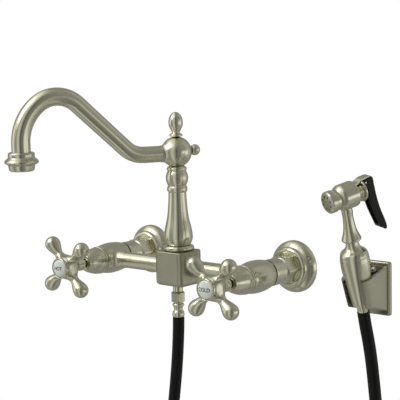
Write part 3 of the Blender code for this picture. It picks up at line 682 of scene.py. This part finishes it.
def cross_handle(side):
    """Four swelling arms that run into the hub, a polished rim, and the porcelain button with its word."""
    matrix = VALVES[side]
    hub = [(0, 46), (7, 46, 0.4), (7.3, 48.4), (6.9, 53), (7.6, 58), (9.4, 62), (10.6, 66), (10.4, 71),
           (10.2, 75.4, 0.2), (0, 75.4)]
    arm = [(0, 2), (7.6, 2), (7.1, 6.5), (6.2, 10), (5.2, 13), (4.7, 16), (4.8, 19), (5.8, 22), (7.1, 25.4)]
    ball_start = asin(arm[-1][0] / ARM_BALL_RADIUS)
    steps = 6
    for k in range(1, steps):
        angle = ball_start + (pi - ball_start) * k / steps
        arm.append((ARM_BALL_RADIUS * sin(angle), ARM_BALL_CENTRE - ARM_BALL_RADIUS * cos(angle)))
    arm.append((0, ARM_BALL_CENTRE + ARM_BALL_RADIUS))
    parts = [(hub, Matrix.Identity(4))]
    for k in range(4):
        spoke = turn(radians(45 + 90 * k + HANDLE_TWIST[side]), "Z") @ turn(pi / 2, "Y")
        parts.append((arm, Matrix.Translation((0, 0, HANDLE_PLANE)) @ spoke))
    button_seat = rod(6, 66.6, 80)
    stem_socket = rod(3.9, 40, 64.3)
    screw_hole = rod(2.2, 60, 70)
    shape = carved(fused(parts, blend=7.0, voxel=0.7), button_seat, stem_socket, screw_hole)
    place(f"cross_handle_{side}_fine", shape, "cast_nickel", matrix, f"cross_handle_{side}")
    rim = [(9.9, 74.6), (10.2, 74.4, 0), (10.9, 75.6), (11.4, 77.2), (11.3, 78.8), (10.7, 79.5),
           (10.1, 79.3), (9.9, 78.4, 0), (9.9, 74.6)]
    place(f"handle_rim_{side}", lathe(rim), "bright_nickel", matrix, body=f"{side}_handle", slot="nickel")
    dome = [(0, 75.6), (9.6, 75.6, 0.3), (9.6, 78.4), (9.0, 79.4), (7.6, 80.2), (5, 80.9), (0, 81.3)]
    turned_piece(f"index_button_{side}", dome, matrix, look="porcelain")
    letters = word(side.upper(), outline(dome))
    place(f"button_word_{side}", letters, "enamel", matrix, body=f"{side}_handle", slot="porcelain")


def word(text, dome):
    """Thin raised letters that follow the button's dome."""
    curve = bpy.data.curves.new(text, "FONT")
    curve.body = text
    curve.size = 5.3
    curve.extrude = 0.1
    curve.offset = 0.12
    curve.align_x = "CENTER"
    curve.align_y = "CENTER"
    curve.resolution_u = 4
    made = linked(text, curve)
    bpy.context.view_layer.update()
    mesh = bpy.data.meshes.new_from_object(made.evaluated_get(bpy.context.evaluated_depsgraph_get()))
    bpy.data.objects.remove(made)
    shape = as_shape(mesh)
    bmesh.ops.remove_doubles(shape, verts=shape.verts, dist=0.001)
    face_start, sunk = 78, 0.02  # heights on the dome, and how deep the letters stand in it
    heights = sorted((point.x, point.y) for point in dome if point.y > face_start)
    for vert in shape.verts:
        surface = np.interp(hypot(vert.co.x, vert.co.y), *zip(*heights))
        vert.co.z += surface - sunk
    return shape


# -------------------- column and spout

def column():
    """The base ring, and the turned column that swivels with the spout."""
    ring = [(8.8, 18.6), (15.2, 18.6, 0.3), (16.3, 19.5), (16.6, 21), (16.0, 22.7), (14.6, 23.7),
            (13.4, 23.8, 0.2), (8.8, 23.8, 0), (8.8, 18.6)]
    turned_piece("column_base_ring", ring, ROOT, look="bright_nickel")
    shaft = [(5, 9), (8.2, 9, 0), (8.2, 11.9, 0), (6.6, 11.9, 0), (6.6, 14.5, 0), (8.2, 14.5, 0),
              (8.2, 24.1, 0), (12.4, 24.1, 0.3), (14.2, 27.2), (15.3, 31), (15.4, 34), (14.7, 39.5),
              (13.3, 46), (11.9, 52), (11, 58), (10.3, 65), (9.7, 74), (9.5, 80.6, 0.2), (10.5, 81.8),
              (10.9, 84), (10.4, 86.2), (9.6, 87.4, 0.2), (11.3, 91.4), (11.9, 95.8), (11.3, 99.8),
              (9.7, 103.4, 0.2), (10.5, 104.4), (10.6, 106.2), (9.4, 107.6), (8.4, 108.4, 0.3),
              (6, 108.4, 0), (6, 116, 0), (5, 116, 0), (5, 9)]
    turned_piece("column", shaft, SPOUT)


def hub():
    """The ball hub with the soft collar that takes the spout, its finial and the clamp screw's ball."""
    steps = 24
    sphere = [(0, HUB_HEIGHT - HUB_RADIUS)]
    for k in range(1, steps):
        angle = pi * k / steps
        sphere.append((HUB_RADIUS * sin(angle), HUB_HEIGHT - HUB_RADIUS * cos(angle)))
    sphere.append((0, HUB_HEIGHT + HUB_RADIUS))
    forward = Matrix.Translation((0, 0, SPOUT_ARM_HEIGHT)) @ turn(pi / 2, "X")
    collar = [(0, 2), (9.1, 2, 0), (8.9, 17.6, 0.3), (0, 17.6)]
    shape = fused([(sphere, Matrix.Identity(4)), (collar, forward)], blend=2.6, voxel=0.62)
    backward = Matrix.Translation((0, 0, CLAMP_HEIGHT)) @ turn(-pi / 2, "X")
    column_socket = rod(6.3, 100, 117)
    water_way = rod(4.5, 110, HUB_HEIGHT)
    spout_socket = moved(rod(8.6, 6, 40), forward)
    clamp_hole = moved(rod(2.4, 9, 30), backward)
    finial_hole = rod(2.4, 130, 150)
    shape = carved(shape, column_socket, water_way, spout_socket, clamp_hole, finial_hole)
    place("spout_hub_fine", shape, "cast_nickel", SPOUT, "spout_hub")
    finial = [(0, 131), (2.1, 131, 0), (2.1, 139.7, 0), (6.2, 139.7, 0.3), (6.9, 140.4), (6.9, 141.4),
              (6.0, 142.3), (4.6, 143.2), (4.2, 144.0, 0.2), (5.3, 146.4), (6.9, 149.6), (7.6, 153),
              (7.4, 157), (6.2, 160.8), (3.9, 163.8), (1.9, 165.0), (0, 165.3)]
    turned_piece("finial", finial, SPOUT)
    screw = [(0, 9.6), (2.1, 9.6, 0), (2.1, 16.6, 0), (3.4, 16.6, 0.3), (4.9, 17.2), (5.9, 20.2),
             (5.2, 23.2), (2.9, 25.5), (0, 26.1)]
    turned_piece("spout_clamp_screw", screw, SPOUT @ shift(0, 0, CLAMP_HEIGHT) @ turn(-pi / 2, "X"))


def arc(centre, radius, start, end, steps):
    """Points (forward, up) round a centre; an angle of 0 is straight up and it grows forward."""
    angles = [start + (end - start) * k / steps for k in range(steps + 1)]
    return [centre + radius * Vector((sin(a), cos(a))) for a in angles]


def spout():
    """The swept tube: arm, lower bend, straight, arch of two radii and drop, widening to its outlet."""
    low = Vector((SPOUT_ARM, SPOUT_ARM_HEIGHT + SPOUT_BEND))
    high = Vector(SPOUT_CROWN)
    between = high - low
    slope = atan2(between.y, between.x) + asin((SPOUT_BEND + SPOUT_CROWN_RADIUS) / between.length)
    split = radians(SPOUT_ARCH_SPLIT)
    widening = (SPOUT_REACH - high.x - SPOUT_CROWN_RADIUS) / (1 - sin(split))
    wide = high - widening * Vector((sin(split), cos(split)))
    line = [Vector((forward, SPOUT_ARM_HEIGHT)) for forward in (6.4, 14, 26)]
    line += arc(low, SPOUT_BEND, pi, pi - slope, 16)
    straight_start, straight_end = line[-1], high + SPOUT_CROWN_RADIUS * Vector((-sin(slope), cos(slope)))
    line += [straight_start.lerp(straight_end, k / 5) for k in range(1, 5)]
    line += arc(high, SPOUT_CROWN_RADIUS, -slope, split, 26)
    line += arc(wide, SPOUT_CROWN_RADIUS + widening, split, pi / 2, 18)[1:]
    drop = SPOUT_END_HEIGHT - line[-1].y
    line += [Vector((SPOUT_REACH, line[-1].y + drop * k / 3)) for k in range(1, 4)]
    travelled = [0.0]
    for a, b in zip(line, line[1:]):
        travelled.append(travelled[-1] + (b - a).length)
    near, far = SPOUT_RADII
    radii = [near + (far - near) * way / travelled[-1] for way in travelled]
    path = [Vector((0, -forward, up)) for forward, up in line]
    shape = tube(path, radii, sides=56, wall=SPOUT_WALL)
    place("spout_tube_fine", shape, "drawn_nickel", SPOUT, "spout_tube")


def aerator():
    """The turned shell at the spout's end."""
    shell = [(10.1, 131.5), (12.2, 131.5, 0.5), (13.4, 130.4), (13.8, 128.4), (13.5, 126.4, 0.2),
             (14.6, 125.2), (16.6, 123.6), (17.7, 121.8, 0.7), (16.8, 120.2), (14.6, 119.0, 0.3),
             (13.9, 118.4), (13.4, 115.8), (12.8, 113.4), (11.8, 112.4), (10.6, 112.1), (9.6, 112.4, 0.2),
             (9.6, 114.6, 0), (12, 116, 0), (12, 127, 0), (10.1, 127, 0), (10.1, 131.5)]
    turned_piece("aerator_shell", shell, SPOUT @ shift(0, -SPOUT_REACH, 0))


# -------------------- hose outlet

def hose_outlet():
    """Nipple, hexagonal nut and ferrule under the block, where the hose starts."""
    matrix = ROOT @ shift(0, -OUTLET_OFFSET, 0)
    nipple = [(2.4, -12), (5, -12, 0), (5, -18.6, 0), (5.5, -19, 0.2), (5.4, -26, 0.2), (3.4, -26, 0),
              (3.4, -31, 0), (2.4, -31, 0), (2.4, -12)]
    turned_piece("hose_nipple", nipple, matrix, segments=SMALL_TURN)
    crown = [(3.8, -26.4), (6.2, -26.4, 0.2), (7.6, -27.8), (8.1, -29.4), (8.1, -34.6), (7.6, -36.2),
             (6.4, -37.4, 0.2), (3.8, -37.4, 0), (3.8, -26.4)]
    hexagon = rounded_edges(rod(8.1, -50, -20, 6), lambda edge: span(edge, "z") > 20, 0.8)
    nut = combined(lathe(crown), "INTERSECT", moved(hexagon, turn(radians(15), "Z")))
    place("hose_nut_fine", nut, "turned_nickel", matrix, "hose_nut")
    ferrule = [(2.4, -31.4), (3.4, -31.4, 0), (3.4, -39.2, 0), (5.8, -39.2, 0.2), (6.3, -40.2),
               (6.0, -41.6), (5.0, -43.2), (4.6, -44.8), (5.0, -46.4), (6.1, -48.6), (6.6, -51),
               (6.3, -53), (5.7, -54.1, 0.3), (2.4, -54.1, 0), (2.4, -31.4)]
    turned_piece("hose_ferrule", ferrule, matrix, segments=SMALL_TURN)


# -------------------- sprayer and its holder

def holder_plate(width, low, high):
    """The wall plate with a raised bevelled edge, its back at y = 0."""
    size = (width, PLATE_THICKNESS, high - low)
    shape = box(size, (0, -PLATE_THICKNESS / 2, (low + high) / 2))
    rounded_edges(shape, lambda edge: span(edge, "y") > 1, 2.6, 6)
    front = 0.1 - PLATE_THICKNESS
    return rounded_edges(shape, lambda edge: all(vert.co.y < front for vert in edge.verts), 1.8, 5)


def holder_cradle(lean):
    """The hull of two leaning half rings and the plate's front."""
    steps = 32
    shape = bmesh.new()
    for radius, along in ((16.4, 4.5), (14.2, -24.6)):
        for k in range(steps + 1):
            angle = radians(-100 + 200 * k / steps)
            shape.verts.new(lean @ Vector((radius * sin(angle), -radius * cos(angle), along)))
    for x in (-16.0, 16.0):
        for z in (12.0, -33.0):
            shape.verts.new((x, 1 - PLATE_THICKNESS, z))
    bmesh.ops.convex_hull(shape, input=shape.verts)
    return shape


def sprayer_holder():
    """Wall plate, the open-fronted cradle that grows out of it with a thin lip, and two screws."""
    low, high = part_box("sprayer_holder")
    holder = Matrix.Translation(((low.x + high.x) / 2, 0, 0))
    lean = Matrix.Translation((0, CRADLE.translation.y / MM, 0)) @ CRADLE.to_3x3().to_4x4()
    plate = holder_plate((high.x - low.x) / MM, low.z / MM, high.z / MM)
    shape = combined(plate, "UNION", holder_cradle(lean))
    bore = lathe([(0, -60), (10.4, -60, 0), (10.4, -26.5, 0), (14.1, 4, 0), (15.4, 24, 0), (15.4, 60, 0),
                  (0, 60)])
    front_opening = box((20.5, 40, 90), (0, -22, 0))
    pocket = box((26, 24, 70), (0, -PLATE_THICKNESS - 12.3, 13))
    screw_holes = [moved(rod(2.3, -1, 10), Matrix.Translation((0, 0, height)) @ turn(pi / 2, "X"))
                   for height in HOLDER_SCREWS.values()]
    shape = carved(shape, moved(bore, lean), moved(front_opening, lean), pocket, *screw_holes)
    made = helper(shape)
    soften = made.modifiers.new("soften", "BEVEL")
    soften.width = 0.45
    soften.segments = 3
    soften.limit_method = "ANGLE"
    soften.angle_limit = radians(40)
    place("sprayer_holder_fine", evaluated(made), "satin_nickel", holder, "sprayer_holder")
    head = [(0, 0.2), (2, 0.2, 0), (2, 4.7, 0), (3.9, 4.7, 0.2), (3.7, 5.6), (2.6, 6.6), (0, 7)]
    for end, height in HOLDER_SCREWS.items():
        slots = (box((0.9, 9, 1.6), (0, 0, 7)), box((9, 0.9, 1.6), (0, 0, 7)))
        screw = carved(lathe(head, SMALL_TURN), *slots)
        matrix = holder @ shift(0, 0, height) @ turn(pi / 2, "X")
        place(f"holder_screw_{end}_fine", screw, "steel", matrix, f"holder_screw_{end}")


def sprayer_grip():
    """Ferrule, grip and flared neck, turned on the sprayer's axis."""
    ferrule = [(2.6, -32.8), (5.7, -32.8, 0.3), (5.9, -31.6, 0.2), (5.6, -31.2, 0.2), (5.8, -29),
               (6, -26, 0.3), (3.8, -25.6, 0), (3.8, -16, 0), (2.6, -16, 0), (2.6, -32.8)]
    turned_piece("sprayer_ferrule", ferrule, SPRAYER, segments=SMALL_TURN)
    grip = [(4.1, -25.3), (9.4, -25.3, 0.6), (10.4, -21), (12.2, -8), (13.6, 4), (14.6, 14), (14.85, 22),
            (14.5, 27, 0.2), (14.2, 27.5, 0.2), (14.4, 28.2, 0.2), (13.7, 30.8), (12.6, 32.8),
            (11.2, 33.8), (9.4, 35.2), (7.6, 37.6), (6.6, 40.4), (6.2, 43, 0.2), (4.4, 43, 0),
            (4.4, 36, 0), (7, 30, 0), (7, -12, 0), (4.1, -12, 0), (4.1, -25.3)]
    turned_piece("sprayer_grip", grip, SPRAYER)
    neck = [(2.8, 43.3), (6.4, 43.3, 0.3), (8.4, 43.9), (9.8, 45.3, 0.4), (9.9, 46.4, 0.3), (8.7, 49.2),
            (7.4, 53), (6.3, 58), (5.6, 64), (5.3, 70), (5.7, 76), (5.4, 76.8, 0), (5.4, 79, 0),
            (2.8, 79, 0), (2.8, 43.3)]
    turned_piece("sprayer_neck", neck, SPRAYER)


def sprayer_barrel():
    """The barrel, with the lug and tongue that carry the lever."""
    barrel = [(0, -14.5), (7.4, -14.5, 0.3), (8.6, -13.8), (9.2, -12.6), (9.6, -11.4, 0.4), (11.6, -10.9),
              (12.8, -9.9), (13.1, -8.2), (13.1, 4.4, 0.5), (12.3, 6.5), (10.9, 8.6), (10.3, 9.7, 0.2),
              (8.6, 9.9, 0), (8.6, 18.6, 0), (7.6, 18.6, 0), (7.6, 9, 0), (0, 9)]
    to_head = turn(-pi / 2, "X")
    lug = outline([(9, 6), (9, 10.6), (12.4, 10.2), (14.4, 10.4), (17, 11.4), (20, 12.5),
                   (27.6, 12.9, 0.4), (29.4, 12.5, 0.4), (29.4, 11.7, 0.3), (20.9, 10.75), (17.7, 10.6),
                   (16.4, 9.4), (14.4, 8.4), (12, 7.6), (11, 6)])
    corner = 1.2  # radians between two faces
    lug_shape = extruded(lug, half_width=4.4)
    rounded_edges(lug_shape, lambda edge: span(edge, "x") < 1 and edge.calc_face_angle(0) > corner, 0.35, 3)
    tongue_line = [(20.9, 4.8), (20.9, 12), (25.4, 12.4), (25.4, 5.6), (24, 4.4), (22, 4.2)]
    tongue = extruded(tongue_line, half_width=2.2)
    shape = combined(lathe(barrel), "UNION", moved(lug_shape, to_head))
    shape = combined(shape, "UNION", moved(tongue, to_head))
    pin = Matrix.Translation((0, LEVER_PIVOT[1], -LEVER_PIVOT[0])) @ turn(pi / 2, "Y")
    pin_hole = moved(rod(PIN_HOLE, -9, 9), pin)
    neck_socket = moved(rod(5.7, -30, -11), to_head)
    water_way = moved(rod(2.4, -12, -1), to_head)
    plunger_bore = rod(6.3, -20, -9.1)
    face_bore = rod(3.2, -10, 9.5)
    shape = carved(shape, pin_hole, neck_socket, water_way, plunger_bore, face_bore)
    place("sprayer_barrel_fine", shape, "turned_nickel", HEAD, "sprayer_barrel")


def spray_ends():
    """The spray face with its ring of holes, and the bright rear cap."""
    face = [(0, 18.9), (8.9, 18.9, 0), (8.9, 10.1, 0), (10.2, 10.1, 0.15), (10.3, 11.6), (10.5, 12.8),
            (10.9, 13.8, 0.2), (10.7, 14.2, 0.2), (11.1, 14.6, 0.2), (11.1, 19.0), (10.7, 20.2),
            (9.6, 20.8), (6, 21.1), (0, 21.2)]
    holes = []
    for k in range(SPRAY_HOLES):
        angle = 2 * pi * (k + 0.5) / SPRAY_HOLES
        spot = Matrix.Translation((SPRAY_RING * sin(angle), SPRAY_RING * cos(angle), 0))
        holes.append(moved(rod(SPRAY_HOLE_RADIUS, 15, 25, 16), spot))
    place("spray_face_fine", carved(lathe(face), *holes), "turned_nickel", HEAD, "spray_face")
    cap = [(2.9, -20.6), (2.9, -14.8, 0), (7.2, -14.8, 0), (7.3, -16.4), (8.6, -17.6), (11, -18, 0.3),
           (11.4, -18.8), (11.3, -20, 0.4), (10.2, -20.6, 0.3), (2.9, -20.6)]
    flat = box((12, 4, 9), (0, 12.3, -19))
    place("sprayer_rear_cap_fine", carved(lathe(cap), flat), "bright_nickel", HEAD, "sprayer_rear_cap")


def plunger_spring():
    """The coil behind the plunger's flange, attached to no body."""
    high, low = SPRING_ENDS
    steps = SPRING_STEPS * SPRING_TURNS
    path = []
    for k in range(steps + 1):
        angle = 2 * pi * k / SPRING_STEPS
        along = low + (high - low) * k / steps
        path.append(Vector((SPRING_RADIUS * cos(angle), SPRING_RADIUS * sin(angle), along)))
    wire = tube(path, [SPRING_WIRE] * len(path), sides=10)
    piece = place("plunger_spring_fine", wire, "steel", HEAD, "plunger_spring", bends=True)
    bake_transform(piece)


def sprayer_lever():
    """Black thumb lever: rounded edges, a hollow under side and a stepped tip."""
    behind, above = LEVER_PIVOT
    side = outline([(21.2, 8), (21.2, 5, 0.5), (24.7, 1, 0.8), (24.7, -6), (25.2, -14), (27.4, -24),
                    (32.8, -41.6, 0.4), (33.6, -43.4, 0.4), (35.6, -42.6, 0.4), (37.2, -46, 0.5),
                    (39.2, -45.8), (40, -43.6), (39.2, -38), (35.6, -24), (33.4, -11), (32.4, 2),
                    (32, 9.6), (31.2, 11.6), (29.9, 12.3, 0.2), (29.9, 11, 0.2), (21.2, 10, 0.5),
                    (21.2, 8)])[:-1]
    shape = extruded([(y - behind, z - above) for y, z in side], half_width=5.6)
    under = [(22, -9), (27.4, -9), (28.2, -16), (30.2, -25), (34.6, -39), (30, -40), (24, -24)]
    hollow = extruded([(y - behind, z - above) for y, z in under], half_width=3.4)
    tongue_slot = box((5, 7.6, 16), (0, -0.4, 0.4))
    pin_hole = moved(rod(PIN_HOLE, -9, 9), turn(pi / 2, "Y"))
    shape = carved(shape, hollow, tongue_slot, pin_hole)
    place("sprayer_lever_fine", softened(shape, voxel=0.33, rounds=2), "lever", LEVER, "sprayer_lever")
    pin = [(0, -5.4), (1.1, -5.4, 0.2), (1.1, 5.4, 0.2), (0, 5.4)]
    turned_piece("lever_pin", pin, LEVER @ turn(pi / 2, "Y"), look="steel", segments=32)


def inner_pieces():
    """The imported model's own small and inner pieces keep their shape and get their slot's finish."""
    for name, made in frame["nodes"].items():
        look = "turned_nickel" if SLOTS[name] == "nickel" else SLOTS[name]
        made.data.materials.clear()
        made.data.materials.append(LOOKS[look])


# -------------------- light and floor

def calculated(tree, operation, *values):
    """The result of a Math node whose values are sockets or numbers."""
    made = node(tree, "ShaderNodeMath", operation=operation)
    for socket, value in zip(made.inputs, values):
        if isinstance(value, float):
            socket.default_value = value
        else:
            tree.links.new(value, socket)
    return made.outputs[0]


def window(tree, value, low, high, soft):
    """1 between low and high, falling softly to 0 on both sides."""
    rise = node(tree, "ShaderNodeMapRange", interpolation_type="SMOOTHSTEP")
    fall = node(tree, "ShaderNodeMapRange", interpolation_type="SMOOTHSTEP")
    for ramp, start, end in ((rise, low - soft, low + soft), (fall, high + soft, high - soft)):
        ramp.inputs["From Min"].default_value = start
        ramp.inputs["From Max"].default_value = end
        tree.links.new(value, ramp.inputs["Value"])
    return calculated(tree, "MULTIPLY", rise.outputs["Result"], fall.outputs["Result"])


def seen_as_white(tree, lit, white, output):
    """What the camera sees is plain white paper; everything else sees the lit shader."""
    mix = node(tree, "ShaderNodeMixShader")
    tree.links.new(node(tree, "ShaderNodeLightPath").outputs["Is Camera Ray"], mix.inputs[0])
    tree.links.new(lit.outputs[0], mix.inputs[1])
    tree.links.new(white.outputs[0], mix.inputs[2])
    tree.links.new(mix.outputs[0], tree.nodes[output].inputs["Surface"])


def studio():
    """A plain grey room with the soft boxes."""
    world = bpy.data.worlds.new("studio")
    bpy.context.scene.world = world
    world.use_nodes = True
    tree = world.node_tree
    rotated = node(tree, "ShaderNodeVectorRotate", rotation_type="Z_AXIS", Angle=radians(-BOX_AZIMUTH))
    tree.links.new(node(tree, "ShaderNodeTexCoord").outputs["Generated"], rotated.inputs["Vector"])
    parts = node(tree, "ShaderNodeSeparateXYZ")
    tree.links.new(rotated.outputs[0], parts.inputs[0])
    towards = calculated(tree, "MULTIPLY", parts.outputs["Y"], -1.0)
    azimuth = calculated(tree, "ARCTAN2", parts.outputs["X"], towards)
    elevation = calculated(tree, "ARCSINE", parts.outputs["Z"])
    total = ROOM
    for strength, sides, heights, soft in SOFT_BOXES:
        across = window(tree, azimuth, radians(sides[0]), radians(sides[1]), radians(soft))
        upward = window(tree, elevation, radians(heights[0]), radians(heights[1]), radians(soft))
        spot = calculated(tree, "MULTIPLY", across, upward)
        total = calculated(tree, "MULTIPLY_ADD", spot, strength, total)
    lit = tree.nodes["Background"]
    lit.inputs["Color"].default_value = (1, 1, 0.97, 1)
    tree.links.new(total, lit.inputs["Strength"])
    white = node(tree, "ShaderNodeBackground", Color=(1, 1, 1, 1), Strength=1.0)
    seen_as_white(tree, lit, white, "World Output")
    bpy.context.scene.view_settings.view_transform = "Standard"


def floor():
    """A wide pale floor just under the hanging hose, left out of reflections."""
    below_hose = 0.025
    shape = bmesh.new()
    bmesh.ops.create_grid(shape, x_segments=1, y_segments=1, size=20.0)
    mesh = mesh_from(shape, "floor")
    made = linked("floor", mesh)
    made.location.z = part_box("hose")[0].z - below_hose
    made.visible_glossy = False
    paper = bpy.data.materials.new("paper")
    paper.use_nodes = True
    tree = paper.node_tree
    shader = tree.nodes["Principled BSDF"]
    shader.inputs["Base Color"].default_value = (0.5, 0.5, 0.47, 1)
    shader.inputs["Roughness"].default_value = 0.9
    white = node(tree, "ShaderNodeEmission", Color=(1, 1, 1, 1), Strength=1.0)
    seen_as_white(tree, shader, white, "Material Output")
    mesh.materials.append(paper)


def area_light(name, position, target, size, power):
    data = bpy.data.lights.new(name, "AREA")
    data.size = size
    data.energy = power
    made = linked(name, data)
    made.location = position
    made.rotation_euler = (Vector(target) - Vector(position)).to_track_quat("-Z", "Y").to_euler()


camera()
hose()
inner_pieces()
mixing_block()
for side in SIGNS:
    bridge_tube(side)
    valve_body(side)
    valve_trim(side)
    cross_handle(side)
column()
hub()
spout()
aerator()
hose_outlet()
sprayer_holder()
sprayer_grip()
sprayer_barrel()
spray_ends()
plunger_spring()
sprayer_lever()
floor()
area_light("key", position=(-0.9, -1.6, 1.5), target=(0, -0.1, 0), size=1.0, power=14)
studio()
